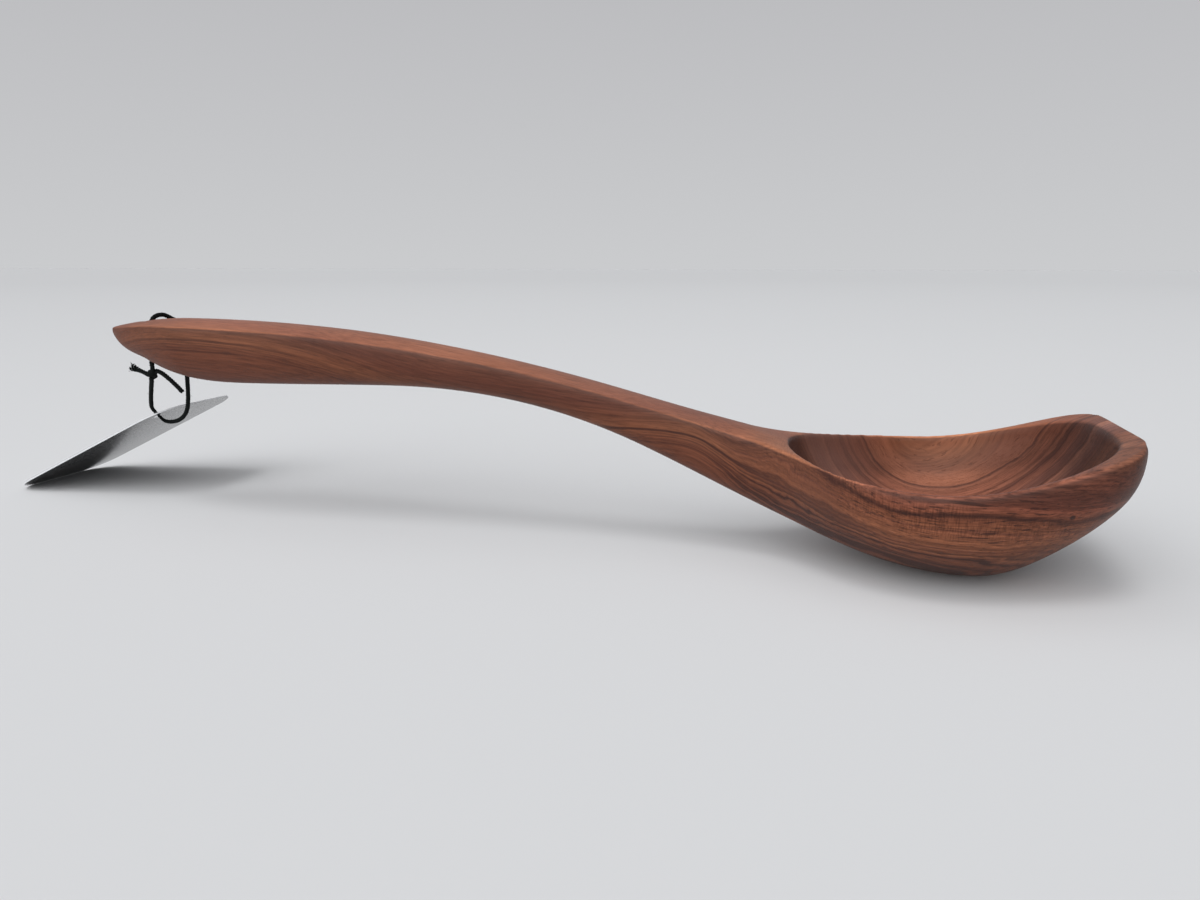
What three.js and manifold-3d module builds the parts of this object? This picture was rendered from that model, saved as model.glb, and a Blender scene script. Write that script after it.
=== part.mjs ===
// A hand-carved wooden ladle with a loop of black twine and a blank card tag.
// Millimetres, +Z up. +X runs along the ladle from the handle end to the bowl's front edge.
// Y = 0 is the ladle's plane of symmetry, and the near side of the ladle is at -Y.
// The origin lies on the surface that the bowl stands on, under the middle of the ladle's length.
// The ladle is one carved piece: a lofted blank from which the bowl's hollow and a cord hole are cut.
import * as THREE from 'three';
import { mergeVertices } from 'three/addons/utils/BufferGeometryUtils.js';
import Module from 'manifold-3d';

// Ladle, overall
const ladleLength = 356;
const topEdgeRadius = 1.6;
const thinEdgeShare = 0.45;

// Handle, distances from its tip
const tipHeight = 72.1;
const tipThickness = 1.4;
const tipRise = 0.12;
const tipFall = -1.45;
const tipRoundLength = 36;
const tipPointedness = 1.4;
const handleHalfWidth = 13;
const crestFromTip = 28;
const crestHeight = 74;
const tipCutFromTip = 18;
const tipCutHeight = 59.7;
const tipCutFall = -0.5;
const heelFromTip = 56;
const heelHalfWidth = 14.3;
const heelUnderHeight = 52.5;
const waistFromTip = 118;
const waistUnderHeight = 53.3;
const handleCrown = 2.1;

// Neck, distances from the bowl's front edge
const neckFromFront = 164;
const neckHeight = 54.7;
const neckFall = -0.25;
const neckUnderFromFront = 150;
const neckUnderHeight = 36.1;
const neckUnderFall = -0.43;
const neckNarrowFromFront = 170;
const neckHalfWidth = 9.6;
const shoulderStartFromFront = 124;
const shoulderStartHalfWidth = 10.9;

// Bowl, distances from its front edge
const shoulderFromFront = 94;
const shoulderHalfWidth = 26.5;
const shoulderSpread = 1.1;
const bowlWidestFromFront = 54;
const bowlHalfWidth = 47.6;
const frontHalfWidth = 39;
const frontTaper = -.15;
const frontRoundLength = 26;
const frontSquareness = 4.4;
const rimLowFromFront = 57;
const rimLowHeight = 34.2;
const rimFrontHeight = 48;
const rimFrontRise = 0.36;
const bottomFromFront = 43;
const bottomFlatDepth = 0.6;
const frontEdgeRadius = 1.5;
const noseRadius = 5.5;
const noseThickness = 18;
const noseRise = 1.3;
const bowlFullness = 1.86;
const frontFullness = 2.1;
const handleFullness = 2.4;

// Hollow of the bowl
const hollowBackFromFront = 100;
const hollowDeepestFromFront = 54;
const rimLand = 3.2;
const frontLand = 5;
const floorThickness = 6.3;
const hollowBackSquareness = 2;
const hollowFrontSquareness = 3.4;
const hollowFullness = 2.3;
const hollowClearAbove = 14;

// Cord hole and twine
const holeFromTip = 16;
const holeDiameter = 4.4;
const cordDiameter = 1.2;
const touchGap = 0.3;
const hingeGap = 0.6;
const knotWidth = 3.6;
const knotHeight = 3.2;

// Where the twine goes, from the hole or from the hole's mouth under the handle
const crossingAlong = 3.6;
const nearPivotDrop = 2.2;
const farPivotAlong = 5.4;
const farPivotOut = 1.2;
const farPivotDrop = 3.4;
const knotBack = 2.7;
const knotAside = 2.8;
const knotDrop = 7;
const eyeBack = 15.1;
const eyeAside = 20.1;
const eyeHeight = 34.7;

// Card tag
const tagLength = 88.9;
const tagWidth = 50.8;
const tagThickness = 0.5;
const tagCornerRadius = 12.7;
const tagHoleDiameter = 4;
const tagHoleFromEnd = 9.2;
const tagHoleFromSide = 7.2;
const tagTurn = THREE.MathUtils.degToRad(-2);

// Mesh fineness
const loftStations = 78;
const topSteps = 10;
const edgeSteps = 2;
const sideSteps = 11;
const hollowStations = 40;
const hollowSideSteps = 10;
const holeSides = 16;
const cordSides = 8;
const cordStep = 2.2 * cordDiameter;
const knotSides = 10;
const cornerSteps = 8;
const endShare = 0.01;

const tipX = -ladleLength / 2;
const frontX = ladleLength / 2;
const fromTip = (distance) => tipX + distance;
const fromFront = (distance) => frontX - distance;

const walnut = { color: 0x8a4a2c, roughness: 0.5, metalness: 0 };
const blackTwine = { color: 0x101413, roughness: 0.9, metalness: 0 };
const paleCard = { color: 0xc9ccd0, roughness: 0.6, metalness: 0 };

// A smooth line through knots: each has its place x, its value and its slope there.
function smoothLine(knots) {
  return (x) => {
    const last = knots.length - 2;
    let index = 0;
    while (index < last && x > knots[index + 1].x) index += 1;
    const from = knots[index];
    const to = knots[index + 1];
    const span = to.x - from.x;
    const t = THREE.MathUtils.clamp((x - from.x) / span, 0, 1);
    const rise = t * t * (3 - 2 * t);
    const fromTangent = t * (1 - t) * (1 - t) * span * from.slope;
    const toTangent = t * t * (t - 1) * span * to.slope;
    return from.value + (to.value - from.value) * rise + fromTangent + toTangent;
  };
}

// How far a rounded end has closed at x: 1 away from the end and 0 at it.
function endRound(x, endX, length, squareness) {
  const into = THREE.MathUtils.clamp(1 - Math.abs(endX - x) / length, 0, 1);
  return Math.pow(1 - Math.pow(into, squareness), 1 / squareness);
}

const topEdge = smoothLine([
  { x: tipX, value: tipHeight, slope: tipRise },
  { x: fromTip(crestFromTip), value: crestHeight, slope: 0 },
  { x: fromFront(neckFromFront), value: neckHeight, slope: neckFall },
  { x: fromFront(rimLowFromFront), value: rimLowHeight, slope: 0 },
  { x: frontX, value: rimFrontHeight, slope: rimFrontRise },
]);

const keel = smoothLine([
  { x: tipX, value: tipHeight - tipThickness, slope: tipFall },
  { x: fromTip(tipCutFromTip), value: tipCutHeight, slope: tipCutFall },
  { x: fromTip(heelFromTip), value: heelUnderHeight, slope: 0 },
  { x: fromTip(waistFromTip), value: waistUnderHeight, slope: 0 },
  { x: fromFront(neckUnderFromFront), value: neckUnderHeight, slope: neckUnderFall },
  { x: fromFront(bottomFromFront), value: -bottomFlatDepth, slope: 0 },
  { x: frontX, value: rimFrontHeight - noseThickness, slope: noseRise },
]);

const planWidth = smoothLine([
  { x: tipX, value: handleHalfWidth, slope: 0 },
  { x: fromTip(heelFromTip), value: heelHalfWidth, slope: 0 },
  { x: fromFront(neckNarrowFromFront), value: neckHalfWidth, slope: 0 },
  { x: fromFront(shoulderStartFromFront), value: shoulderStartHalfWidth, slope: 0.1 },
  { x: fromFront(shoulderFromFront), value: shoulderHalfWidth, slope: shoulderSpread },
  { x: fromFront(bowlWidestFromFront), value: bowlHalfWidth, slope: 0 },
  { x: frontX, value: frontHalfWidth, slope: frontTaper },
]);

function halfWidth(x) {
  const tip = endRound(x, tipX, tipRoundLength, tipPointedness);
  const front = endRound(x, frontX, frontRoundLength, frontSquareness);
  return planWidth(x) * tip * front;
}

// 0 along the handle and 1 along the bowl, changing smoothly over the shoulder.
function bowlShare(x) {
  return THREE.MathUtils.smoothstep(x, fromFront(shoulderStartFromFront), fromFront(shoulderFromFront));
}

function crownHeight(x) {
  const spread = Math.min(1, halfWidth(x) / handleHalfWidth);
  return handleCrown * spread * (1 - bowlShare(x));
}

function sectionFullness(x) {
  const handleToBowl = THREE.MathUtils.lerp(handleFullness, bowlFullness, bowlShare(x));
  const frontShare = THREE.MathUtils.smoothstep(x, fromFront(frontRoundLength), frontX);
  return THREE.MathUtils.lerp(handleToBowl, frontFullness, frontShare);
}

// How far a rounding of the bowl's front end has turned the top or the underside inwards at x.
function frontRounding(x, radius) {
  const into = THREE.MathUtils.clamp((x - fromFront(radius)) / radius, 0, 1);
  return radius * (1 - Math.sqrt(1 - into * into));
}

// One cross-section of the blank, from the far top edge over the top and round the underside.
function blankSection(x) {
  const width = halfWidth(x);
  const top = topEdge(x) - frontRounding(x, frontEdgeRadius);
  const bottom = keel(x) + frontRounding(x, noseRadius);
  const radius = Math.min(topEdgeRadius, width * thinEdgeShare, (top - bottom) * thinEdgeShare);
  const fullness = sectionFullness(x);
  const crown = crownHeight(x);
  const points = [];
  for (let i = 0; i <= topSteps; i += 1) {
    const across = 1 - (2 * i) / topSteps;
    points.push([across * (width - radius), top + crown * (1 - across * across)]);
  }
  for (let i = 1; i <= edgeSteps; i += 1) {
    const angle = (i / edgeSteps) * (Math.PI / 2);
    points.push([-(width - radius) - radius * Math.sin(angle), top - radius * (1 - Math.cos(angle))]);
  }
  const sideTop = top - radius;
  const depth = sideTop - bottom;
  for (let i = 1; i < 2 * sideSteps; i += 1) {
    const angle = (i / (2 * sideSteps)) * Math.PI;
    const out = Math.cos(angle);
    const spread = Math.sign(out) * Math.pow(Math.abs(out), 2 / fullness);
    const drop = Math.pow(Math.sin(angle), 2 / fullness);
    points.push([-width * spread, Math.max(0, sideTop - depth * drop)]);
  }
  for (let i = edgeSteps; i >= 1; i -= 1) {
    const angle = (i / edgeSteps) * (Math.PI / 2);
    points.push([width - radius + radius * Math.sin(angle), top - radius * (1 - Math.cos(angle))]);
  }
  return points.map(([y, z]) => new THREE.Vector3(x, y, z));
}

const hollowBackX = fromFront(hollowBackFromFront);
const hollowDeepX = fromFront(hollowDeepestFromFront);
const hollowFrontX = fromFront(frontLand);

function hollowEnds(x, squareness) {
  const back = endRound(x, hollowBackX, hollowDeepX - hollowBackX, hollowBackSquareness);
  const front = endRound(x, hollowFrontX, hollowFrontX - hollowDeepX, squareness);
  return x < hollowDeepX ? back : front;
}

function hollowHalfWidth(x) {
  return (planWidth(Math.max(x, hollowDeepX)) - rimLand) * hollowEnds(x, hollowFrontSquareness);
}

function hollowDepth(x) {
  const deepest = topEdge(hollowDeepX) - keel(hollowDeepX) - floorThickness;
  return deepest * hollowEnds(x, hollowFullness);
}

function hollowSection(x) {
  const width = hollowHalfWidth(x);
  const top = topEdge(x);
  const depth = hollowDepth(x);
  const points = [new THREE.Vector3(x, width, top + hollowClearAbove)];
  points.push(new THREE.Vector3(x, -width, top + hollowClearAbove));
  for (let i = 0; i <= 2 * hollowSideSteps; i += 1) {
    const angle = (i / (2 * hollowSideSteps)) * Math.PI;
    const out = Math.cos(angle);
    const spread = Math.sign(out) * Math.pow(Math.abs(out), 2 / hollowFullness);
    const drop = Math.pow(Math.sin(angle), 2 / hollowFullness);
    points.push(new THREE.Vector3(x, -width * spread, top - depth * drop));
  }
  return points;
}

// Stations from start to end, packed closely towards both ends.
function stations(start, end, count) {
  const places = [];
  for (let i = 0; i <= count; i += 1) {
    const turn = (i / count) * Math.PI;
    places.push((start + end) / 2 - ((end - start) / 2) * Math.cos(turn));
  }
  return places;
}

// A closed skin over a row of rings with equal numbers of points, capped at both ends.
function skin(rings) {
  const positions = [];
  const indices = [];
  const count = rings[0].length;
  rings.forEach((ring) => ring.forEach((point) => positions.push(point.x, point.y, point.z)));
  for (let r = 0; r < rings.length - 1; r += 1) {
    for (let i = 0; i < count; i += 1) {
      const next = (i + 1) % count;
      const a = r * count + i;
      const b = r * count + next;
      indices.push(a, b, a + count, b, b + count, a + count);
    }
  }
  const cap = (start, outward) => {
    const ring = rings[start / count];
    const centre = ring.reduce((sum, point) => sum.add(point), new THREE.Vector3()).divideScalar(count);
    const hub = positions.length / 3;
    positions.push(centre.x, centre.y, centre.z);
    for (let i = 0; i < count; i += 1) {
      const next = (i + 1) % count;
      if (outward) indices.push(hub, start + i, start + next);
      else indices.push(hub, start + next, start + i);
    }
  };
  cap(0, false);
  cap((rings.length - 1) * count, true);
  const geometry = new THREE.BufferGeometry();
  geometry.setAttribute('position', new THREE.Float32BufferAttribute(positions, 3));
  geometry.setIndex(indices);
  return geometry;
}

const wasm = await Module();
wasm.setup();

function toSolid(geometry) {
  const bare = geometry.clone();
  bare.deleteAttribute('normal');
  bare.deleteAttribute('uv');
  const merged = mergeVertices(bare, 1e-4);
  const vertProperties = new Float32Array(merged.attributes.position.array);
  const triVerts = new Uint32Array(merged.index.array);
  return new wasm.Manifold(new wasm.Mesh({ numProp: 3, vertProperties, triVerts }));
}

function toGeometry(solid) {
  const mesh = solid.getMesh();
  const geometry = new THREE.BufferGeometry();
  geometry.setAttribute('position', new THREE.BufferAttribute(mesh.vertProperties, 3));
  geometry.setIndex(new THREE.BufferAttribute(mesh.triVerts, 1));
  geometry.computeVertexNormals();
  return geometry;
}

function addMesh(parent, name, geometry, look) {
  const mesh = new THREE.Mesh(geometry, new THREE.MeshStandardMaterial(look));
  mesh.name = name;
  parent.add(mesh);
  return mesh;
}

// Ladle
const holeX = fromTip(holeFromTip);

function makeLadle() {
  const start = tipX + tipRoundLength * endShare;
  const end = frontX - frontEdgeRadius * endShare;
  const blank = toSolid(skin(stations(start, end, loftStations).map(blankSection)));

  const back = hollowBackX + rimLand * endShare;
  const front = hollowFrontX - rimLand * endShare;
  const hollow = toSolid(skin(stations(back, front, hollowStations).map(hollowSection)));

  const drillLength = 4 * handleHalfWidth;
  const drill = new THREE.CylinderGeometry(holeDiameter / 2, holeDiameter / 2, drillLength, holeSides);
  drill.rotateX(Math.PI / 2);
  drill.translate(holeX, 0, topEdge(holeX));
  return toGeometry(blank.subtract(hollow).subtract(toSolid(drill)));
}

// Twine
const cordRadius = cordDiameter / 2;
const holeTop = topEdge(holeX) + crownHeight(holeX);
const holeMouth = keel(holeX);
const edgeX = holeX + crossingAlong;
const edgeY = halfWidth(edgeX) + cordRadius + touchGap;
const nearPivot = new THREE.Vector3(holeX, 0, holeMouth - nearPivotDrop);
const farPivot = new THREE.Vector3(holeX + farPivotAlong, edgeY + farPivotOut, holeMouth - farPivotDrop);
const knotCentre = new THREE.Vector3(holeX - knotBack, knotAside, holeMouth - knotDrop);
const tagEye = new THREE.Vector3(holeX - eyeBack, eyeAside, eyeHeight);

// A round cord through points, closed at both ends.
function makeCord(points) {
  const path = new THREE.CatmullRomCurve3(points, false, 'centripetal');
  const outline = new THREE.Shape();
  for (let i = 0; i < cordSides; i += 1) {
    const angle = (i / cordSides) * 2 * Math.PI;
    const corner = [cordRadius * Math.cos(angle), cordRadius * Math.sin(angle)];
    if (i === 0) outline.moveTo(...corner);
    else outline.lineTo(...corner);
  }
  outline.closePath();
  const steps = Math.ceil(path.getLength() / cordStep);
  return new THREE.ExtrudeGeometry(outline, { steps, extrudePath: path });
}

function at(from, x, y, z) {
  return new THREE.Vector3(from.x + x, from.y + y, from.z + z);
}

// Up through the hole, over the top, across the far edge and down the far side.
function makeUpperCord() {
  const topMiddle = new THREE.Vector3(holeX, 0, holeTop);
  const edge = new THREE.Vector3(edgeX, edgeY, topEdge(edgeX));
  return makeCord([
    nearPivot,
    at(nearPivot, 0, 0, 4),
    at(topMiddle, -0.3, 0.2, -3),
    at(topMiddle, 0.2, 1.6, 0.7),
    at(topMiddle, 1.3, 5, 1.5),
    at(topMiddle, 2.4, 8, 0.9),
    at(edge, 0, -0.2, 0.8),
    at(edge, 0.4, 0, -2),
    at(edge, 1, 0.3, -8),
    farPivot,
  ]);
}

// Down from the far pivot, under the tag's end, up through its eye and back to the knot.
function makeLoop() {
  const toKnot = new THREE.Vector3().subVectors(knotCentre, tagEye).normalize();
  const knotReach = knotWidth / 2 + touchGap;
  return makeCord([
    at(farPivot, 0, 0.1, -hingeGap),
    at(farPivot, -0.3, 0.9, -5.2),
    at(tagEye, 16.1, -3.1, 4.2),
    at(tagEye, 11.9, -0.9, -0.1),
    at(tagEye, 6.6, 0.6, -2.3),
    at(tagEye, 2.1, 0.7, -2.2),
    tagEye,
    at(tagEye, -1.3, -1.8, 3.2),
    at(tagEye, 0.4, -4.3, 6.3),
    at(tagEye, 4.7, -8.9, 12.1),
    new THREE.Vector3().copy(knotCentre).addScaledVector(toKnot, -knotReach),
  ]);
}

// The tied knot with its short frayed tail, its long tail and the stub up to the handle.
function makeKnot() {
  const ball = new THREE.SphereGeometry(0.5, knotSides, knotSides - 2);
  ball.scale(knotWidth, knotWidth, knotHeight);
  ball.translate(knotCentre.x, knotCentre.y, knotCentre.z);
  const stub = makeCord([at(nearPivot, 0, 0, -hingeGap), at(nearPivot, -0.8, 1.2, -2.4), knotCentre]);
  const shortTail = makeCord([knotCentre, at(knotCentre, -2.4, 0, 0.8), at(knotCentre, -9, 0.4, 3)]);
  const longTail = makeCord([
    knotCentre,
    at(knotCentre, 2.2, -0.6, 1.9),
    at(knotCentre, 5.6, -1.6, 1.4),
    at(knotCentre, 11.6, -2.6, -2.4),
    at(knotCentre, 15.1, -3, -5.4),
  ]);
  const tied = [stub, shortTail, longTail].map(toSolid);
  return toGeometry(tied.reduce((whole, strand) => whole.add(strand), toSolid(ball)));
}

// Tag
const eyePull = tagHoleDiameter / 2 - cordRadius - touchGap;
const tagIncline = Math.asin(tagEye.z / (tagLength - tagHoleFromEnd + eyePull));

function makeTag() {
  const left = tagHoleFromEnd - tagLength;
  const right = tagHoleFromEnd;
  const near = -tagHoleFromSide;
  const far = tagWidth - tagHoleFromSide;
  const r = tagCornerRadius;
  const outline = new THREE.Shape();
  outline.absarc(right - r, near + r, r, -Math.PI / 2, 0, false);
  outline.absarc(right - r, far - r, r, 0, Math.PI / 2, false);
  outline.absarc(left + r, far - r, r, Math.PI / 2, Math.PI, false);
  outline.absarc(left + r, near + r, r, Math.PI, Math.PI * 1.5, false);
  const punched = new THREE.Path();
  punched.absarc(0, 0, tagHoleDiameter / 2, 0, 2 * Math.PI, true);
  outline.holes.push(punched);
  return new THREE.ExtrudeGeometry(outline, { depth: tagThickness, bevelEnabled: false, curveSegments: cornerSteps });
}

const model = new THREE.Group();
addMesh(model, 'ladle', makeLadle(), walnut);
addMesh(model, 'cord_upper', makeUpperCord(), blackTwine);
addMesh(model, 'cord_loop', makeLoop(), blackTwine);
addMesh(model, 'cord_knot', makeKnot(), blackTwine);

// The tag hangs by its eye on the loop, and its lower short edge rests on the surface.
const hangingTag = new THREE.Group();
hangingTag.rotation.set(0, -tagIncline, tagTurn, 'ZYX');
hangingTag.position.copy(tagEye);
const tag = addMesh(hangingTag, 'hang_tag', makeTag(), paleCard);
tag.position.set(-eyePull, 0, 0);
model.add(hangingTag);

export default model;
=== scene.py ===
"""Looks of the carved wooden ladle: fine mesh of the ladle, twisted twine, card, studio and camera.
"""

import math

import bpy
import numpy as np
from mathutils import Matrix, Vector


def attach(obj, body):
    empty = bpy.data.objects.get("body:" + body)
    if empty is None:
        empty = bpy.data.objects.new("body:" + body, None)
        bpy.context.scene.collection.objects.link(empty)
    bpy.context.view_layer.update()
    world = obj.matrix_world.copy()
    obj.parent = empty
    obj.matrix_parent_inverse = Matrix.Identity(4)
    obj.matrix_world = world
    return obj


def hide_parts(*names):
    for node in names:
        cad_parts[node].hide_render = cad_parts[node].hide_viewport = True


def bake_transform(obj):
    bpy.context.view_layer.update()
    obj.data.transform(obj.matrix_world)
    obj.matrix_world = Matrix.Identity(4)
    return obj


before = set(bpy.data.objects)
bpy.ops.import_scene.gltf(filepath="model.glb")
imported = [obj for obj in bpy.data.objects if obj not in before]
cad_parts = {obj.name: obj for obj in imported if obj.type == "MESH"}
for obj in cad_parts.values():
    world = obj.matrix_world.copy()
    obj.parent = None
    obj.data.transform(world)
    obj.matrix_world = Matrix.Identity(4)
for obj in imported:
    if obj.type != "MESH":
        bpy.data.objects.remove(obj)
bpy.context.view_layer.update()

MM = 0.001

# Camera: a 36 mm wide sensor, a picture 1200 pixels wide and a focal length of 936 pixels.
PICTURE_WIDTH = 1200
FOCAL_PIXELS = 936.0
SENSOR_MM = 36.0
CAMERA_AT = (85.5, -309.8, 97.6)
CAMERA_PITCH = 11.5
CAMERA_YAW = 13.0
CLIP_METRES = (0.01, 100)

camera_data = bpy.data.cameras.new("camera")
camera_data.sensor_fit = "HORIZONTAL"
camera_data.sensor_width = SENSOR_MM
camera_data.lens = FOCAL_PIXELS / PICTURE_WIDTH * SENSOR_MM
camera_data.clip_start = CLIP_METRES[0]
camera_data.clip_end = CLIP_METRES[1]
camera = bpy.data.objects.new("camera", camera_data)
camera.location = Vector(CAMERA_AT) * MM
camera.rotation_euler = (math.radians(90 - CAMERA_PITCH), 0, math.radians(CAMERA_YAW))
bpy.context.scene.collection.objects.link(camera)
bpy.context.scene.camera = camera


def smooth_line(*knots):
    """A smooth curve through knots (x, value, slope)."""
    xs, values, slopes = (np.array(column, float) for column in zip(*knots))

    def line(x):
        x = np.asarray(x, float)
        i = np.clip(np.searchsorted(xs, x, side="right") - 1, 0, len(xs) - 2)
        span = xs[i + 1] - xs[i]
        t = np.clip((x - xs[i]) / span, 0, 1)
        rise = t * t * (3 - 2 * t)
        bend = t * (1 - t) ** 2 * slopes[i] - t * t * (1 - t) * slopes[i + 1]
        return values[i] + (values[i + 1] - values[i]) * rise + bend * span

    return line


def smoothstep(x, low, high):
    """Rises smoothly from 0 at low to 1 at high."""
    t = np.clip((np.asarray(x, float) - low) / (high - low), 0, 1)
    return t * t * (3 - 2 * t)


def end_round(x, end, length, squareness):
    """Rises from 0 at an end to 1 at length from it, as a superellipse does."""
    into = np.clip(1 - np.abs(end - x) / length, 0, 1)
    return (1 - into ** squareness) ** (1 / squareness)


def half_oval(width, top, depth, fullness, turn):
    """Places across and heights of the lower half of an oval, from -width to width."""
    out = np.cos(turn)
    across = -width * np.sign(out) * np.abs(out) ** (2 / fullness)
    return across, top - depth * np.sin(turn) ** (2 / fullness)


# Ladle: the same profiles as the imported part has, sampled finely.
TIP = -178.0
FRONT = 178.0
SHOULDER_START = FRONT - 124
SHOULDER = FRONT - 94
EDGE_RADIUS = 1.6
THIN_EDGE_SHARE = 0.45
HANDLE_HALF_WIDTH = 13.0
HANDLE_CROWN = 2.1
TIP_ROUND, TIP_POINTEDNESS = 36, 1.4
FRONT_ROUND, FRONT_SQUARENESS = 26, 4.4
FRONT_EDGE_RADIUS = 1.5
NOSE_RADIUS = 5.5
HANDLE_FULLNESS = 2.4
BOWL_FULLNESS = 1.86
FRONT_FULLNESS = 2.1
top_edge = smooth_line(
    (TIP, 72.1, 0.12), (TIP + 28, 74, 0), (FRONT - 164, 54.7, -0.25), (FRONT - 57, 34.2, 0),
    (FRONT, 48, 0.36))
keel = smooth_line(
    (TIP, 70.7, -1.45), (TIP + 18, 59.7, -0.5), (TIP + 56, 52.5, 0), (TIP + 118, 53.3, 0),
    (FRONT - 150, 36.1, -0.43), (FRONT - 43, -0.6, 0), (FRONT, 30, 1.3))
plan_width = smooth_line(
    (TIP, HANDLE_HALF_WIDTH, 0), (TIP + 56, 14.3, 0), (FRONT - 170, 9.6, 0),
    (SHOULDER_START, 10.9, 0.1), (SHOULDER, 26.5, 1.1), (FRONT - 54, 47.6, 0), (FRONT, 39, -0.15))


def half_width(x):
    return (plan_width(x) * end_round(x, TIP, TIP_ROUND, TIP_POINTEDNESS)
            * end_round(x, FRONT, FRONT_ROUND, FRONT_SQUARENESS))


def bowl_share(x):
    return smoothstep(x, SHOULDER_START, SHOULDER)


def crown(x):
    """How far the middle of the handle's top stands above its edges."""
    return HANDLE_CROWN * np.minimum(1, half_width(x) / HANDLE_HALF_WIDTH) * (1 - bowl_share(x))


def front_turn(x, radius):
    """How far a round of this radius at the front end has drawn a profile back at x."""
    into = np.clip((x - FRONT + radius) / radius, 0, 1)
    return radius * (1 - np.sqrt(1 - into ** 2))


def blank_section(x, top_steps=44, edge_steps=7, side_steps=56):
    """The blank's outline at x: crowned top, rounded edge and full underside, never below 0."""
    width = half_width(x)
    top = top_edge(x) - front_turn(x, FRONT_EDGE_RADIUS)
    bottom = keel(x) + front_turn(x, NOSE_RADIUS)
    radius = min(EDGE_RADIUS, width * THIN_EDGE_SHARE, (top - bottom) * THIN_EDGE_SHARE)
    fullness = HANDLE_FULLNESS + (BOWL_FULLNESS - HANDLE_FULLNESS) * bowl_share(x)
    fullness += (FRONT_FULLNESS - fullness) * smoothstep(x, FRONT - FRONT_ROUND, FRONT)
    across = np.linspace(1, -1, top_steps + 1)
    over = [(a * (width - radius), top + crown(x) * (1 - a * a)) for a in across]
    corner = [(width - radius + radius * math.sin(t), top - radius * (1 - math.cos(t)))
              for t in np.linspace(0, math.pi / 2, edge_steps + 1)[1:]]
    side_top = top - radius
    turn = np.linspace(0, math.pi, 2 * side_steps + 1)[1:-1]
    ys, zs = half_oval(width, side_top, side_top - bottom, fullness, turn)
    points = over + [(-y, z) for y, z in corner] + list(zip(ys, np.maximum(0, zs))) + corner[::-1]
    return [(x, float(y), float(z)) for y, z in points]


HOLLOW_BACK = FRONT - 100
HOLLOW_DEEP = FRONT - 54
HOLLOW_FRONT = FRONT - 5
HOLLOW_BACK_LENGTH = HOLLOW_DEEP - HOLLOW_BACK
HOLLOW_FRONT_LENGTH = HOLLOW_FRONT - HOLLOW_DEEP
RIM_LAND = 3.2
FLOOR_THICKNESS = 6.3
HOLLOW_BACK_SQUARENESS = 2
HOLLOW_FRONT_SQUARENESS = 3.4
HOLLOW_FULLNESS = 2.3
HOLLOW_ABOVE = 14
DEEPEST = float(top_edge(HOLLOW_DEEP) - keel(HOLLOW_DEEP)) - FLOOR_THICKNESS


def hollow_ends(x, squareness):
    """Share of the hollow's full size at x; squareness is that of its front end."""
    if x < HOLLOW_DEEP:
        return end_round(x, HOLLOW_BACK, HOLLOW_BACK_LENGTH, HOLLOW_BACK_SQUARENESS)
    return end_round(x, HOLLOW_FRONT, HOLLOW_FRONT_LENGTH, squareness)


def hollow_width(x):
    """Half the hollow's width before its ends are rounded."""
    return plan_width(np.maximum(x, HOLLOW_DEEP)) - RIM_LAND


def hollow_section(x, side_steps=48):
    width = hollow_width(x) * hollow_ends(x, HOLLOW_FRONT_SQUARENESS)
    top = float(top_edge(x))
    turn = np.linspace(0, math.pi, 2 * side_steps + 1)
    depth = DEEPEST * hollow_ends(x, HOLLOW_FULLNESS)
    ys, zs = half_oval(width, top, depth, HOLLOW_FULLNESS, turn)
    points = [(width, top + HOLLOW_ABOVE), (-width, top + HOLLOW_ABOVE)] + list(zip(ys, zs))
    return [(x, float(y), float(z)) for y, z in points]


def spaced(start, end, count):
    """Places from start to end that lie closer together towards both ends."""
    turn = np.linspace(0, math.pi, count + 1)
    return (start + end) / 2 - (end - start) / 2 * np.cos(turn)


def new_object(name, vertices, faces):
    mesh = bpy.data.meshes.new(name)
    mesh.from_pydata([Vector(v) * MM for v in vertices], [], faces)
    mesh.update()
    obj = bpy.data.objects.new(name, mesh)
    bpy.context.scene.collection.objects.link(obj)
    return obj


def tube_faces(rings, sides):
    """Faces of a closed tube whose vertices run ring by ring."""
    faces = []
    for r in range(rings - 1):
        for k in range(sides):
            a, b = r * sides + k, r * sides + (k + 1) % sides
            faces.append((a, b, b + sides, a + sides))
    faces.append(tuple(reversed(range(sides))))
    faces.append(tuple(range((rings - 1) * sides, rings * sides)))
    return faces


def lofted(name, rings):
    vertices = [point for ring in rings for point in ring]
    return new_object(name, vertices, tube_faces(len(rings), len(rings[0])))


def baked(obj):
    """Gives obj the mesh that its modifiers make."""
    bpy.context.view_layer.update()
    depsgraph = bpy.context.evaluated_depsgraph_get()
    mesh = bpy.data.meshes.new_from_object(obj.evaluated_get(depsgraph))
    obj.modifiers.clear()
    obj.data = mesh


def cut(obj, tool):
    boolean = obj.modifiers.new("cut", "BOOLEAN")
    boolean.operation = "DIFFERENCE"
    boolean.solver = "EXACT"
    boolean.object = tool
    baked(obj)
    bpy.data.objects.remove(tool)


def soften(obj, rounds, group=""):
    """Smooths obj's mesh, by the weights of a vertex group where one is named."""
    smoothing = obj.modifiers.new("soften", "SMOOTH")
    smoothing.factor = 0.5
    smoothing.iterations = rounds
    smoothing.vertex_group = group
    baked(obj)


def shade_smooth(obj):
    for polygon in obj.data.polygons:
        polygon.use_smooth = True


# The sections stop just short of the ends, where their width would be nothing.
TIP_GAP, FRONT_GAP, HOLLOW_GAP = 0.36, 0.015, 0.03
BLANK_SECTIONS, HOLLOW_SECTIONS = 300, 150
HOLE_X = TIP + 16
HOLE_RADIUS = 2.2
HOLE_SIDES = 40
DRILL_ENDS = (40, 90)
VOXEL = 0.5
VOXEL_ROUNDS = 8

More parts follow.
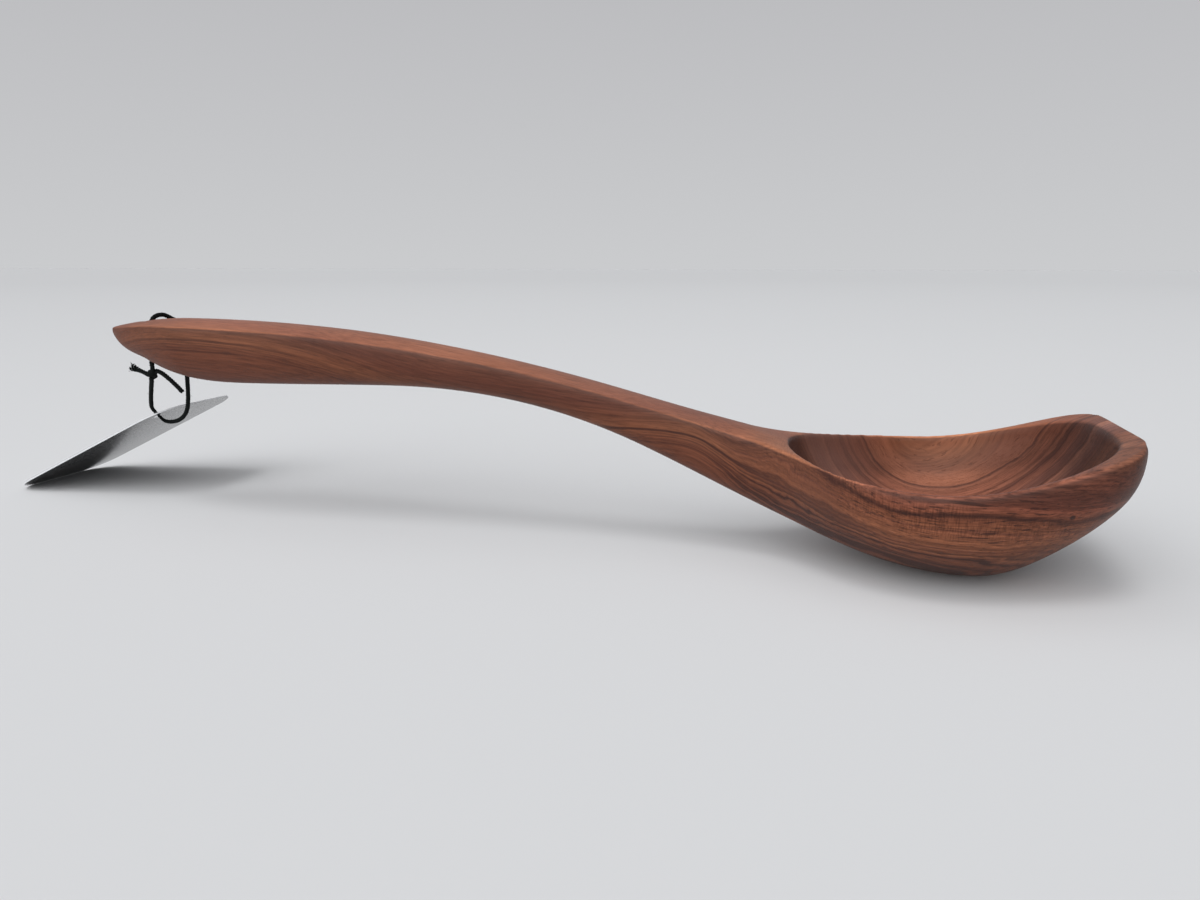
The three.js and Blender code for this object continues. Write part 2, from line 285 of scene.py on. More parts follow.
blank_places = spaced(TIP + TIP_GAP, FRONT - FRONT_GAP, BLANK_SECTIONS)
hollow_places = spaced(HOLLOW_BACK + HOLLOW_GAP, HOLLOW_FRONT - HOLLOW_GAP, HOLLOW_SECTIONS)
ladle = lofted("ladle_carved", [blank_section(x) for x in blank_places])
cut(ladle, lofted("hollow", [hollow_section(x) for x in hollow_places]))
hole_ring = [(HOLE_X + HOLE_RADIUS * math.cos(a), HOLE_RADIUS * math.sin(a))
             for a in np.linspace(0, 2 * math.pi, HOLE_SIDES, endpoint=False)]
cut(ladle, lofted("drill", [[(x, y, z) for x, y in hole_ring] for z in DRILL_ENDS]))

remesh = ladle.modifiers.new("remesh", "REMESH")
remesh.mode = "VOXEL"
remesh.voxel_size = VOXEL * MM
soften(ladle, VOXEL_ROUNDS)


def off_hollow_edge(x, y):
    """How far, roughly, a point of the top lies outside the hollow's outline; negative inside."""
    at_back = x < HOLLOW_DEEP
    length = np.where(at_back, HOLLOW_BACK_LENGTH, HOLLOW_FRONT_LENGTH)
    into = np.abs(x - HOLLOW_DEEP) / length
    across = np.abs(y) / hollow_width(x)
    power = np.where(at_back, HOLLOW_BACK_SQUARENESS, HOLLOW_FRONT_SQUARENESS)
    bowl_half_width = 44
    return ((into ** power + across ** power) ** (1 / power) - 1) * bowl_half_width


# The rim's edges are rounded by hand work: softly at the sides and more towards the front.
# Each reach is how far from an edge the rounding is full, and where it has ended.
RIM_LEVELS = 20
RIM_ROUNDS = 60
INNER_REACH = (2.2, 4.6)
OUTER_REACH = (1.5, 3.5)
RIM_DEPTH = (-8.5, -5.0)
RIM_START = (HOLLOW_BACK - 24, HOLLOW_BACK + 6)
places = np.empty(len(ladle.data.vertices) * 3)
ladle.data.vertices.foreach_get("co", places)
px, py, pz = (places.reshape(-1, 3) / MM).T
inner = 1 - smoothstep(np.abs(off_hollow_edge(px, py) + 0.5), *INNER_REACH)
outer = 1 - smoothstep(np.abs(np.abs(py) - half_width(px)), *OUTER_REACH)
high = smoothstep(pz - top_edge(px), *RIM_DEPTH) * smoothstep(px, *RIM_START)
share = high * np.clip(inner * (0.45 + 0.55 * smoothstep(px, FRONT - 45, FRONT - 12))
                       + outer * (0.58 + 0.34 * smoothstep(px, FRONT - 40, FRONT - 12)), 0, 1)
levels = np.round(share * RIM_LEVELS).astype(int)
rim = ladle.vertex_groups.new(name="rim")
for level in range(1, RIM_LEVELS + 1):
    rim.add([int(i) for i in np.nonzero(levels == level)[0]], level / RIM_LEVELS, "REPLACE")
soften(ladle, RIM_ROUNDS, "rim")
ladle.vertex_groups.clear()
shade_smooth(ladle)

# Twine: the points of its route are named places and shifts from them.
CORD = 1.2
hole_mouth = float(keel(HOLE_X))
edge_x = HOLE_X + 3.6
edge_y = float(half_width(edge_x)) + CORD / 2 + 0.3
near_pivot = np.array((HOLE_X, 0, hole_mouth - 2.2))
far_pivot = np.array((HOLE_X + 5.4, edge_y + 1.2, hole_mouth - 3.4))
knot = np.array((HOLE_X - 2.7, 2.8, hole_mouth - 7))
eye = np.array((HOLE_X - 15.1, 20.1, 34.7))
top_middle = np.array((HOLE_X, 0, float(top_edge(HOLE_X) + crown(HOLE_X))))
edge = np.array((edge_x, edge_y, float(top_edge(edge_x))))


def off(origin, *shift):
    return np.asarray(origin, float) + np.array(shift, float)


def through(points, step=0.25):
    """A centripetal Catmull-Rom curve through points, at an even spacing."""
    p = [2 * points[0] - points[1]] + list(points) + [2 * points[-1] - points[-2]]
    samples = []
    for a, b, c, d in zip(p, p[1:], p[2:], p[3:]):
        t0 = 0.0
        t1 = t0 + max(1e-6, np.linalg.norm(b - a) ** 0.5)
        t2 = t1 + max(1e-6, np.linalg.norm(c - b) ** 0.5)
        t3 = t2 + max(1e-6, np.linalg.norm(d - c) ** 0.5)
        for t in np.linspace(t1, t2, 24, endpoint=False):
            a1 = (t1 - t) / (t1 - t0) * a + (t - t0) / (t1 - t0) * b
            a2 = (t2 - t) / (t2 - t1) * b + (t - t1) / (t2 - t1) * c
            a3 = (t3 - t) / (t3 - t2) * c + (t - t2) / (t3 - t2) * d
            b1 = (t2 - t) / (t2 - t0) * a1 + (t - t0) / (t2 - t0) * a2
            b2 = (t3 - t) / (t3 - t1) * a2 + (t - t1) / (t3 - t1) * a3
            samples.append((t2 - t) / (t2 - t1) * b1 + (t - t1) / (t2 - t1) * b2)
    samples.append(np.asarray(points[-1], float))
    samples = np.array(samples)
    steps = np.linalg.norm(np.diff(samples, axis=0), axis=1)
    along = np.concatenate([[0], np.cumsum(steps)])
    even = np.linspace(0, along[-1], max(4, int(round(along[-1] / step))) + 1)
    return np.column_stack([np.interp(even, along, samples[:, k]) for k in range(3)])


def side_directions(path):
    """Two directions square to a path, turning about it as little as they can."""
    tangent = np.gradient(path, axis=0)
    tangent /= np.linalg.norm(tangent, axis=1)[:, None]
    side = np.cross(tangent[0], (0.3, 0.2, 0.93))
    sides = []
    for t in tangent:
        side = side - t * (side @ t)
        side = side / np.linalg.norm(side)
        sides.append(side)
    sides = np.array(sides)
    return sides, np.cross(tangent, sides)


def add_tube(vertices, faces, path, radii, sides):
    """Adds a closed tube round a path to vertices and faces."""
    start = len(vertices)
    for point, radius, a, b in zip(path, radii, *side_directions(path)):
        for k in range(sides):
            angle = 2 * math.pi * k / sides
            vertices.append(point + radius * (math.cos(angle) * a + math.sin(angle) * b))
    faces.extend(tuple(i + start for i in face) for face in tube_faces(len(path), sides))


KNOT_RADIUS = 1.15


def round_knot(start, end, high, low, steps=7):
    """Part of a turn round the knot's upright middle, between two angles in degrees."""
    turns = np.radians(np.linspace(start, end, steps))
    return [off(knot, KNOT_RADIUS * math.cos(a), KNOT_RADIUS * math.sin(a), h)
            for a, h in zip(turns, np.linspace(high, low, steps))]


short_tail = [off(knot, -9, 0.4, 3), off(knot, -6, 0.3, 2.0), off(knot, -2.9, 0.1, 0.9)]
stub = [off(near_pivot, -0.8, 1.0, -2.4), off(near_pivot, -0.1, 0.1, -0.4)]
up_through = [
    off(near_pivot, 0, 0, 1.2), off(near_pivot, 0.2, 0, 4), off(top_middle, 1.0, 0.2, -3),
    off(top_middle, 1.3, 0.9, 0.3), off(top_middle, 1.8, 3.0, 1.6), off(top_middle, 2.4, 6.4, 1.7),
    off(edge, -0.1, -2.2, 1.6), off(edge, 0.3, -0.1, 0.3), off(edge, 0.7, 0.3, -2.5),
    off(edge, 1.3, 0.5, -8)]
loop = [
    far_pivot, off(far_pivot, -0.3, 0.9, -5.2), off(eye, 16.1, -3.1, 4.2),
    off(eye, 11.9, -0.9, -0.1), off(eye, 6.6, 0.6, -2.3), off(eye, 2.1, 0.7, -2.2), eye,
    off(eye, -1.3, -1.8, 3.2), off(eye, 0.4, -4.3, 6.3), off(eye, 4.7, -8.9, 12.1),
    off(knot, -2.6, 2.8, -2.4)]
long_tail = [off(knot, 2.2, -0.6, 1.9), off(knot, 5.6, -1.6, 1.4), off(knot, 11.6, -2.6, -2.4),
             off(knot, 15.1, -3, -5.4)]
cord_path = through(short_tail + round_knot(200, 520, 0.3, 1.2) + stub + up_through + loop
                    + round_knot(140, -60, -1.1, 0.7) + long_tail)
cord_length = float(np.linalg.norm(np.diff(cord_path, axis=0), axis=1).sum())

# The plies come apart at the short tail's end and are pressed together in the card's eye.
random = np.random.default_rng(11)
PLIES = 3
PLY_SIDES = 6
PLY_RADIUS = 0.49
PLY_OUT = 0.42
LAY = 3.2
FRAY_ENDS = 4.2
FRAY_FULL = 0.4
FRAY_OUT = 0.75
EYE_PRESS = 0.28
EYE_REACH = 3.5
side_u, side_v = side_directions(cord_path)
along = np.linspace(0, cord_length, len(cord_path))
fray = smoothstep(along, FRAY_ENDS, FRAY_FULL)
from_eye = np.linalg.norm(cord_path - eye, axis=1)
squeeze = 1 - EYE_PRESS * np.exp(-(from_eye / EYE_REACH) ** 2)
out = (PLY_OUT + FRAY_OUT * fray) * squeeze
radii = PLY_RADIUS * (1 - 0.5 * fray) * squeeze
cord_vertices, cord_faces = [], []
for ply in range(PLIES):
    angle = 2 * math.pi * (ply / PLIES + along / LAY)
    strand = (cord_path + (np.cos(angle) * out)[:, None] * side_u
              + (np.sin(angle) * out)[:, None] * side_v)
    add_tube(cord_vertices, cord_faces, strand, radii, PLY_SIDES)


def add_hair(start, aim, thick, wave=0.12):
    """A loose fibre that leaves the twine at a sample of its path and ends aim away from there."""
    points = [cord_path[start] + np.array(aim) * part + random.normal(0, wave, 3) * (part < 1)
              for part in np.linspace(0, 1, 5)]
    thread = through(points, 0.3)
    add_tube(cord_vertices, cord_faces, thread, np.linspace(thick, thick * 0.5, len(thread)), 4)


# The short tail's end has come apart into fibres, and a few more stand off along the twine.
TAIL_FIBRES = 54
TAIL_END = 16
LOOSE_HAIRS = 34
HAIRLESS_ROUND_EYE = 6
tail_way = cord_path[0] - cord_path[TAIL_END]
tail_way = tail_way / np.linalg.norm(tail_way)
for fibre in range(TAIL_FIBRES):
    start = int(random.uniform(2, TAIL_END))
    spread_u, spread_v = np.clip(random.normal(0, 0.95, 2), -1.9, 1.9)
    aim = (tail_way * (0.22 * start + random.uniform(-0.3, 0.9))
           + side_u[start] * spread_u + side_v[start] * spread_v)
    add_hair(start, aim, random.uniform(0.07, 0.15))
for hair in range(LOOSE_HAIRS):
    start = int(random.uniform(24, len(cord_path) - 4))
    aim = random.normal(0, 0.8, 3) + (cord_path[start + 3] - cord_path[start]) * 1.6
    if from_eye[start] > HAIRLESS_ROUND_EYE:
        add_hair(start, aim, random.uniform(0.03, 0.06))
twine = new_object("twine", cord_vertices, cord_faces)
shade_smooth(twine)


# Materials
def srgb(r, g, b):
    """The linear colour of 8-bit sRGB values."""
    def linear(c):
        c /= 255
        return c / 12.92 if c <= 0.04045 else ((c + 0.055) / 1.055) ** 2.4
    return (linear(r), linear(g), linear(b))


class Nodes:
    """A node tree, with short calls for its nodes."""

    def __init__(self, tree):
        self.tree = tree

    def add(self, kind, settings=None, **inputs):
        """A new node. Its inputs are given by name, or by number as i0, i1 and so on."""
        node = self.tree.nodes.new(kind)
        for key, value in (settings or {}).items():
            setattr(node, key, value)
        for key, value in inputs.items():
            numbered = key[0] == "i" and key[1:].isdigit()
            self.put(node.inputs[int(key[1:]) if numbered else key.replace("_", " ")], value)
        return node

    def put(self, socket, value):
        if isinstance(value, bpy.types.NodeSocket):
            self.tree.links.new(value, socket)
        else:
            socket.default_value = value

    def coordinate(self, name):
        return self.add("ShaderNodeTexCoord").outputs[name]

    def parts(self, vector):
        return self.add("ShaderNodeSeparateXYZ", None, Vector=vector).outputs[:3]

    def math(self, operation, a, b=0.0, c=0.0):
        return self.add("ShaderNodeMath", {"operation": operation}, i0=a, i1=b, i2=c).outputs[0]

    def times_plus(self, a, b, c):
        return self.math("MULTIPLY_ADD", a, b, c)

    def minus(self, a, b):
        return self.math("SUBTRACT", a, b)

    def product(self, first, *others):
        for other in others:
            first = self.math("MULTIPLY", first, other)
        return first

    def bent(self, u, square, level, slope, bend):
        """level + slope * u + bend * square, where square is u squared."""
        return self.times_plus(square, bend, self.times_plus(u, slope, level))

    def between(self, share, a, b):
        """a where share is 0, b where it is 1."""
        return self.times_plus(share, self.minus(b, a), a)

    def noise(self, vector, scales, detail, rough=0.5, shift=(0, 0, 0), distortion=0.0):
        """Noise over a vector that is multiplied by scales and then shifted."""
        place = self.add("ShaderNodeMapping", None, Vector=vector, Scale=scales, Location=shift)
        return self.add("ShaderNodeTexNoise", None, Vector=place.outputs[0], Scale=1.0,
                        Detail=detail, Roughness=rough, Distortion=distortion).outputs[0]

    def line_noise(self, value, scale, detail, rough=0.5):
        """Noise along one value."""
        return self.add("ShaderNodeTexNoise", {"noise_dimensions": "1D"},
                        W=self.math("MULTIPLY", value, scale), Scale=1.0, Detail=detail,
                        Roughness=rough).outputs[0]

    def curve(self, value, low, high, to_low=0.0, to_high=1.0, smooth=True):
        """Goes from to_low, where value is low, to to_high, where it is high."""
        kind = "SMOOTHSTEP" if smooth else "LINEAR"
        return self.add("ShaderNodeMapRange", {"interpolation_type": kind}, Value=value,
                        From_Min=low, From_Max=high, To_Min=to_low, To_Max=to_high).outputs[0]

    def near(self, value, middle, reach, end, share):
        """share within reach of a middle value, and nothing from end on."""
        apart = self.math("ABSOLUTE", self.minus(value, middle))
        return self.curve(apart, reach, end, share, 0.0)

    def ramp(self, value, stops):
        node = self.add("ShaderNodeValToRGB", None, Fac=value)
        ramp = node.color_ramp
        while len(ramp.elements) < len(stops):
            ramp.elements.new(0.5)
        for element, (position, color) in zip(ramp.elements, stops):
            element.position = position
            element.color = (*color, 1)
        return node.outputs[0]

    def mix(self, factor, a, b, blend="MIX"):
        return self.add("ShaderNodeMix", {"data_type": "RGBA", "blend_type": blend},
                        i0=factor, i6=a, i7=b).outputs[2]


class Shader(Nodes):
    """A material's node tree with one surface."""

    def __init__(self, name):
        self.material = bpy.data.materials.new(name)
        self.material.use_nodes = True
        super().__init__(self.material.node_tree)
        self.tree.nodes.clear()
        self.surface = self.add("ShaderNodeBsdfPrincipled")
        self.add("ShaderNodeOutputMaterial", None, Surface=self.surface.outputs[0])

    def ring_colors(self, rings, stops):
        """Colours by growth ring; stops are (ring, sRGB colour)."""
        first, last = stops[0][0], stops[-1][0]
        return self.ramp(self.curve(rings, first, last, smooth=False),
                         [((ring - first) / (last - first), srgb(*tone)) for ring, tone in stops])

    def shade(self, color, value, stops, share=1.0):
        """Multiplies color by a ramp of value, where share is 1."""
        return self.mix(share, color, self.ramp(value, stops), "MULTIPLY")

    def tint(self, color, tone, *masks):
        """Mixes an sRGB tone into color by the product of masks."""
        return self.mix(self.product(*masks), color, (*srgb(*tone), 1))

    def bump(self, height, distance, **below):
        return self.add("ShaderNodeBump", None, Height=height, Distance=distance,
                        **below).outputs[0]

    def finish(self, **inputs):
        """Sets the surface's inputs and gives the material."""
        for key, value in inputs.items():
            self.put(self.surface.inputs[key.replace("_", " ")], value)
        return self.material


# The bowl's rings go round a line far below it, which was fitted to ring lines marked in
# the photo. Its level, slope and bend are over u, which is 0 at BOWL_MIDDLE and grows by 1 each
# BOWL_SPAN. A ring's number is its distance from the line, with heights made smaller.
NECK_TO_BOWL = (45, 78)
BOWL_MIDDLE = 120.0
BOWL_SPAN = 50.0
PITH_ACROSS = (-34.8, -11.8, 13.5)
PITH_HEIGHT = (-151.0, -6.6, -22.3)
HEIGHT_SHARE = 0.357
RING_BEND = -9.5

# Height of the ring that runs along the handle and neck, as (x, z), and the number of that ring.
# The ring lies so at HANDLE_LINE_Y and falls towards the far side.
HANDLE_LINE = (
    (-180, 66), (-160, 68.9), (-131, 68.4), (-106, 66.1), (-87, 62.5), (-73, 58.6), (-40, 50.8),
    (-10, 46.5), (19, 42.8), (40, 42.2), (48, 40.8), (56, 37.2), (64, 32.2), (80, 25))
HANDLE_LINE_TOP = 80.0
HANDLE_LINE_Y = -11.0
HANDLE_LINE_FALL = 0.22
HANDLE_RING = 61.2
HANDLE_RING_REACH = 10.0

# Tones by ring, as (ring, sRGB): rings below RIM_RING show outside and higher ones in the hollow.
RIM_RING = 74.0
OUTER_TONES = (
    (52, (112, 70, 54)), (55, (122, 78, 58)), (57, (118, 75, 56)), (57.8, (78, 46, 38)),
    (58.1, (116, 74, 55)), (58.7, (78, 47, 38)), (59.0, (126, 82, 61)), (59.6, (90, 56, 44)),
    (59.9, (138, 92, 67)), (60.6, (136, 90, 66)), (60.85, (100, 62, 48)), (61.1, (138, 92, 67)),
    (62.3, (142, 95, 69)), (63.2, (134, 88, 65)), (63.45, (106, 68, 53)), (63.7, (136, 90, 66)),
    (64.6, (130, 84, 62)), (65.1, (86, 53, 43)), (65.5, (120, 76, 58)), (66.5, (126, 78, 62)),
    (67.0, (100, 62, 50)), (67.6, (90, 55, 45)), (68.2, (92, 57, 46)), (69.0, (108, 67, 53)),
    (70.0, (90, 56, 45)), (71.0, (102, 66, 51)), (72.3, (112, 74, 58)), (74, (118, 76, 58)))
INNER_TONES = (
    (74, (118, 76, 58)), (75.1, (92, 59, 48)), (77.6, (92, 61, 54)), (79.4, (106, 73, 64)),
    (80.8, (122, 84, 71)), (82.1, (106, 70, 59)), (83, (84, 55, 48)), (84.8, (98, 64, 55)),
    (86, (108, 69, 56)), (87.7, (100, 63, 52)), (88.2, (78, 49, 42)), (89.3, (104, 66, 53)),
    (92, (114, 71, 56)), (94.2, (114, 72, 56)), (94.6, (78, 47, 39)), (95.0, (132, 84, 64)),
    (97.8, (150, 97, 74)), (100, (140, 90, 67)), (102.5, (158, 106, 79)), (106, (166, 110, 82)),
    (110, (150, 98, 72)))
SOFT_TONES = (
    (52, (112, 70, 54)), (63, (124, 82, 60)), (68, (108, 68, 54)), (73, (124, 82, 63)),
    (78, (88, 56, 47)), (88, (98, 62, 51)), (94, (116, 73, 57)), (100, (134, 86, 64)),
    (110, (144, 92, 67)))
DARK_LINE = (58, 34, 28)
UNCHANGED = (1.0, 1.0, 1.0)
PIN_KNOT = (155.7, -40.4, 28.6)


def handle_line(s, x):
    first, last = HANDLE_LINE[0][0], HANDLE_LINE[-1][0]
    level = s.add("ShaderNodeFloatCurve", None, Value=s.curve(x, first, last, smooth=False))
    curve = level.mapping.curves[0]
    while len(curve.points) < len(HANDLE_LINE):
        curve.points.new(0.5, 0.5)
    for point, (at_x, at_z) in zip(curve.points, HANDLE_LINE):
        point.location = ((at_x - first) / (last - first), at_z / HANDLE_LINE_TOP)
    level.mapping.update()
    return s.math("MULTIPLY", level.outputs[0], HANDLE_LINE_TOP)


def ring_field(s, mm):
    """The number of the growth ring at each point, and a vector whose X runs along the grain."""
    x, y, z = s.parts(mm)
    in_bowl = s.curve(x, *NECK_TO_BOWL)

    u = s.math("DIVIDE", s.minus(x, BOWL_MIDDLE), BOWL_SPAN)
    square = s.product(u, u)
    out_y = s.minus(y, s.bent(u, square, *PITH_ACROSS))
    out_z = s.math("MULTIPLY", s.minus(z, s.bent(u, square, *PITH_HEIGHT)), HEIGHT_SHARE)
    reach = s.math("SQRT", s.math("ADD", s.product(out_y, out_y), s.product(out_z, out_z)))
    bowl_rings = s.times_plus(square, RING_BEND, reach)

    above = s.minus(z, handle_line(s, x))
    above = s.times_plus(s.minus(y, HANDLE_LINE_Y), HANDLE_LINE_FALL, above)
    squeezed = s.math("TANH", s.math("DIVIDE", above, HANDLE_RING_REACH))
    handle_rings = s.times_plus(squeezed, HANDLE_RING_REACH, HANDLE_RING)

    rings = s.between(in_bowl, handle_rings, bowl_rings)
    drift = s.noise(mm, (0.010, 0.035, 0.035), 2.0)
    ripple = s.noise(mm, (0.035, 0.16, 0.16), 3.0, 0.55, (7, 3, 1))
    for waves, height in ((drift, 2.6), (ripple, 1.5)):
        rings = s.times_plus(s.minus(waves, 0.5), height, rings)

    # Grain runs along the handle, round the bowl, and straight in the middle of the hollow.
    flow = s.math("MULTIPLY", s.minus(bowl_rings, HANDLE_RING), 2.6)
    flow = s.between(in_bowl, above, flow)
    flow = s.between(s.curve(rings, 94, 99), flow, s.math("MULTIPLY", y, 1.4))
    grain = s.add("ShaderNodeCombineXYZ", None, X=x, Y=s.math("MULTIPLY", y, 0.6), Z=flow)
    return rings, grain.outputs[0]


class Walnut(Shader):
    """The wood's shader, with what its masks go by.

    mm is a place on the ladle, x its X and facing how far a face looks up: 1 is straight up.
    """

    def __init__(self):
        super().__init__("walnut_oiled")
        scaled = self.add("ShaderNodeVectorMath", {"operation": "SCALE"},
                          i0=self.coordinate("Object"), Scale=1 / MM)
        self.mm = scaled.outputs[0]
        self.x = self.parts(self.mm)[0]
        self.facing = self.parts(self.coordinate("Normal"))[2]
        self.rings, self.grain = ring_field(self, self.mm)
        self.outside = self.math("LESS_THAN", self.rings, RIM_RING)
        self.plain_top = self.math("MAXIMUM", self.curve(self.facing, 0.70, 0.92, 1.0, 0.2),
                                   self.curve(self.x, 86, 112))


def ring_tones(s):
    """The rings' tones, less sharp in some places, and one dark line along handle and neck."""
    strength = s.noise(s.mm, (0.022, 0.05, 0.05), 2.0, 0.6, (2, 5, 9))
    sharpness = s.product(
        s.curve(strength, 0.28, 0.50, 0.55, 1.0), s.curve(s.x, 30, 90, 0.5, 1.0), s.plain_top,
        s.math("MAXIMUM", s.curve(s.x, 70, 95), s.curve(s.rings, 63.6, 64.6, 1.0, 0.2)))
    inner = s.ring_colors(s.rings, INNER_TONES)
    sharp = s.mix(s.outside, inner, s.ring_colors(s.rings, OUTER_TONES))
    color = s.mix(sharpness, s.ring_colors(s.rings, SOFT_TONES), sharp)
    return s.tint(
        color, (56, 33, 28), s.near(s.rings, HANDLE_RING, 0.1, 0.55, 0.8),
        s.curve(s.x, 60, 80, 1.0, 0.0),
        s.math("MAXIMUM", s.curve(s.x, 8, 22), s.curve(s.x, -80, -110, 0.0, 0.6)))


def growth_lines(s, color):
    """Fine lines that follow the rings, and thin dark ones low on the bowl's outside.

    The plain oval in the middle of the bowl has hardly any.
    """
    color = s.shade(
        color, s.line_noise(s.rings, 1.1, 3.0, 0.65),
        [(0.36, (0.62, 0.60, 0.60)), (0.50, UNCHANGED), (0.66, (1.22, 1.23, 1.23))],
        s.product(s.curve(s.x, 20, 80, 0.35, 0.85), s.curve(s.rings, 93.5, 97, 1.0, 0.12),
                  s.plain_top))
    return s.tint(
        color, DARK_LINE, s.curve(s.rings, 55.6, 56.6), s.curve(s.rings, 59.4, 61.0, 1.0, 0.0),
        s.curve(s.x, 40, 75), s.curve(s.x, 138, 165, 1.0, 0.15),
        s.curve(s.line_noise(s.rings, 2.8, 1.5), 0.54, 0.62, 0.0, 0.72))


def grain_figure(s, color, fibre, pores):
    """Fibres, short streaks, dark pores, the cross figure and blotches, calmer on the neck."""
    calm = s.product(s.curve(s.x, 76, 112, 0.32, 1.0), s.curve(s.rings, 74, 82, 1.0, 0.6))
    color = s.shade(
        color, fibre,
        [(0.32, (0.58, 0.55, 0.54)), (0.50, (0.98, 0.98, 0.98)), (0.70, (1.36, 1.38, 1.40))],
        s.math("MAXIMUM", calm, s.curve(s.x, 74, 90, 0.7, 0.0)))
    streak = s.noise(s.grain, (0.08, 1.15, 1.15), 2.0, 0.45, (11, 4, 6), 0.3)
    color = s.tint(color, DARK_LINE, s.curve(streak, 0.62, 0.68, 0.0, 0.75), calm,
                   s.curve(s.rings, 90, 98, 1.0, 0.25))
    color = s.tint(color, (54, 31, 26), pores, calm, 0.6)
    bars = s.noise(s.grain, (2.3, 0.34, 0.34), 1.0, 0.5, (3, 3, 3), 0.3)
    where = s.noise(s.mm, (0.02, 0.03, 0.06), 2.0, 0.5, (5, 1, 8))
    color = s.shade(
        color, bars,
        [(0.40, (0.76, 0.73, 0.71)), (0.50, UNCHANGED), (0.62, (1.14, 1.15, 1.15))],
        s.product(s.curve(where, 0.36, 0.56), s.curve(s.x, 60, 95),
                  s.curve(s.rings, 61.5, 63.5), s.curve(s.rings, 65.6, 67.0, 1.0, 0.0)))
    return s.shade(color, s.noise(s.mm, (0.02, 0.03, 0.03), 3.0, 0.5, (9, 9, 2)),
                   [(0.30, (0.86, 0.84, 0.83)), (0.70, (1.12, 1.13, 1.14))])


def painted_light_and_tones(s, color):
    """Painted light and shade, and a few darker tones.

    Wood that faces up is painted lighter and its sides darker. Painted shade darkens the sides of
    the handle and neck, the hollow's right wall and the front end. Painted light lightens the
    hollow's steep back wall, and a greyer tone dulls the painted light on the neck's top. The tip
    and a band of rings along the neck are darker wood.
    """
    # Painted light and shade: lighter where a face looks up, darker where it looks sideways or
    # down.
    color = s.shade(color, s.curve(s.facing, -0.2, 1.0, smooth=False), [
        (0.0, (0.74, 0.60, 0.54)), (0.32, (0.68, 0.61, 0.575)), (0.58, (0.68, 0.615, 0.585)),
        (0.88, (1.77, 1.66, 1.55))])
    x, rings = s.x, s.rings
    not_up = s.curve(s.facing, 0.5, 0.8, 1.0, 0.0)
    # Painted light on the hollow's steep back wall, which lies in shade.
    hollow_back_painted_light = (s.curve(x, 84, 116, 0.42, 0.0), s.curve(rings, 70, 75))
    # Painted shade on the neck's sides, where a band of rings shows.
    neck_sides_painted_shade = (s.curve(x, 45, 72, 0.0, 0.26), s.curve(x, 88, 108, 1.0, 0.0),
                  s.curve(rings, 59, 61.5), s.outside, not_up)
    neck_band = (s.near(rings, 60.9, 0.4, 1.4, 0.34), s.curve(x, 60, 76),
                 s.curve(x, 94, 112, 1.0, 0.0))
    # Painted shade on the handle's sides.
    handle_sides_painted_shade = (s.curve(x, 60, 90, 0.14, 0.0), not_up)
    # A greyer tone on the neck's up-facing top dulls the painted light there.
    neck_top_dulled_painted_light = (s.curve(x, -25, 15, 0.0, 0.36), s.curve(x, 45, 72, 1.0, 0.0),
                s.curve(s.facing, 0.7, 0.9))
    # Painted shade on the hollow's right wall.
    oval_right_painted_shade = (s.curve(x, 139, 151, 0.0, 0.34), s.curve(rings, 93, 97))
    tip = (s.curve(x, -140, -172, 0.0, 0.35),)
    # Painted shade on the outside of the front end.
    front_end_painted_shade = (s.curve(x, 160, 176, 0.0, 0.30), s.outside)
    for masks, tone in (
            (hollow_back_painted_light, (150, 108, 96)), (neck_sides_painted_shade, (66, 36, 32)), (neck_band, (58, 33, 29)),
            (handle_sides_painted_shade, (52, 30, 27)), (neck_top_dulled_painted_light, (112, 78, 70)), (oval_right_painted_shade, (78, 47, 42)),
            (tip, (98, 54, 36)), (front_end_painted_shade, (66, 40, 32))):
        color = s.tint(color, tone, *masks)
    return color


def walnut():
    s = Walnut()
    fibre = s.noise(s.grain, (0.07, 1.7, 1.7), 4.0, 0.65)
    pores = s.curve(s.noise(s.grain, (0.30, 2.6, 2.6), 2.0, 0.5, (1, 8, 3)), 0.60, 0.68)
    color = growth_lines(s, ring_tones(s))
    color = painted_light_and_tones(s, grain_figure(s, color, fibre, pores))

    # A pin knot low on the near side of the bowl's front.
    to_knot = s.add("ShaderNodeVectorMath", {"operation": "DISTANCE"}, i0=s.mm, i1=PIN_KNOT)
    color = s.tint(color, (44, 26, 22), s.curve(to_knot.outputs["Value"], 0.5, 1.2, 0.9, 0.0))

    # Wide soft facets left by the knife, and fine relief of fibres and pores.
    facets = s.bump(s.noise(s.mm, (0.03, 0.06, 0.06), 1.5, 0.5, (4, 4, 4)), 0.45 * MM)
    normal = s.bump(s.times_plus(pores, -0.8, fibre), 0.05 * MM, Normal=facets)
    return s.finish(Base_Color=color, Roughness=s.times_plus(fibre, 0.14, 0.40),
                    Specular_IOR_Level=0.20, Normal=normal)


def twine_black():
    return Shader("twine_black").finish(Base_Color=(*srgb(13, 17, 16), 1), Roughness=0.85,
                                        Specular_IOR_Level=0.15)


def card():
    """Pale on top and at the cut edges, dark and glossy underneath."""
    s = Shader("card_coated")
    grain = s.noise(s.coordinate("Object"), (900, 900, 900), 2.0)
    paper = s.ramp(grain, [(0.3, srgb(200, 202, 205)), (0.7, srgb(210, 212, 215))])
    under = s.curve(s.parts(s.coordinate("Normal"))[2], -0.35, -0.55)
    return s.finish(
        Base_Color=s.tint(paper, (30, 30, 33), under),
        Roughness=s.curve(grain, 0.3, 0.7, 0.40, 0.46),
        Coat_Weight=s.math("MULTIPLY", under, 0.85), Coat_Roughness=0.06)


